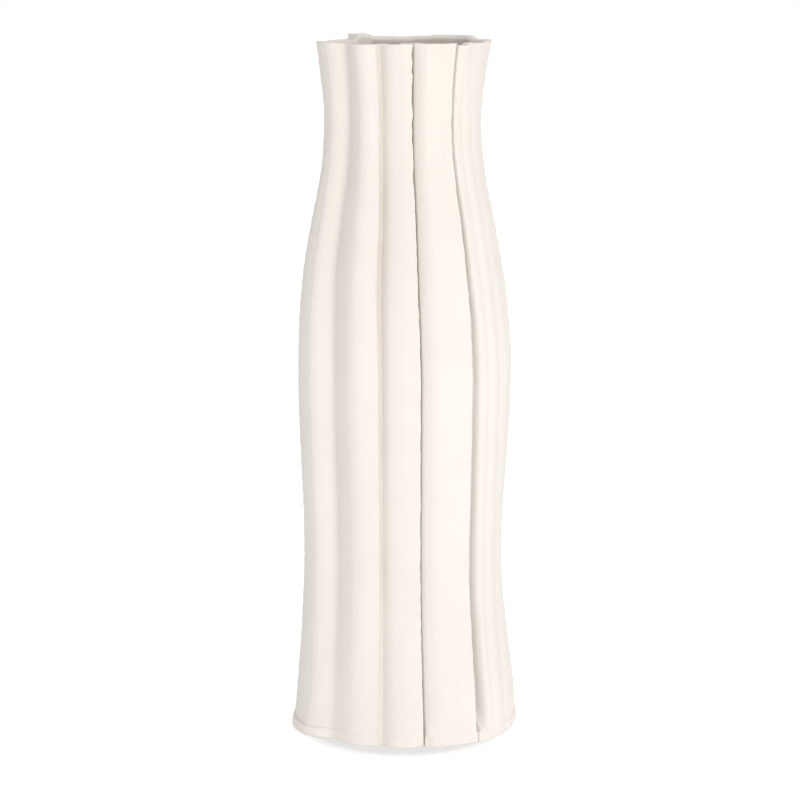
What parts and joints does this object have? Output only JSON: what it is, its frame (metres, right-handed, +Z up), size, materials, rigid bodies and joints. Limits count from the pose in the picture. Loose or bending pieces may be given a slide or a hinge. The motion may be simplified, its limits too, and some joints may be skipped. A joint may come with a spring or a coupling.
{
  "type": "slab-built ceramic vase",
  "caption": "Tall unglazed white vase of upright clay slabs lapped like shingles, with soft vertical folds, a flared foot, a full belly, a drawn-in neck and an uneven cut rim",
  "frame": {"origin": "on the table under the middle of the foot", "axes": "+Z is up along the vase, -Y is the front with the open lap, +X is to the right of someone facing the front"},
  "size_m": [0.1593, 0.1547, 0.4811],
  "materials": {
    "bisque_wall": "matte unglazed",
    "dried_slip": "matte unglazed"
  },
  "bodies": {
    "root": {"floor_slab": "bisque_wall", "slab_left": "bisque_wall", "slab_front": "bisque_wall", "slab_right": "bisque_wall", "slip_front": "dried_slip", "slip_right": "dried_slip", "slip_rear": "dried_slip", "corner_coil": "dried_slip"}
  },
  "joints": []
}
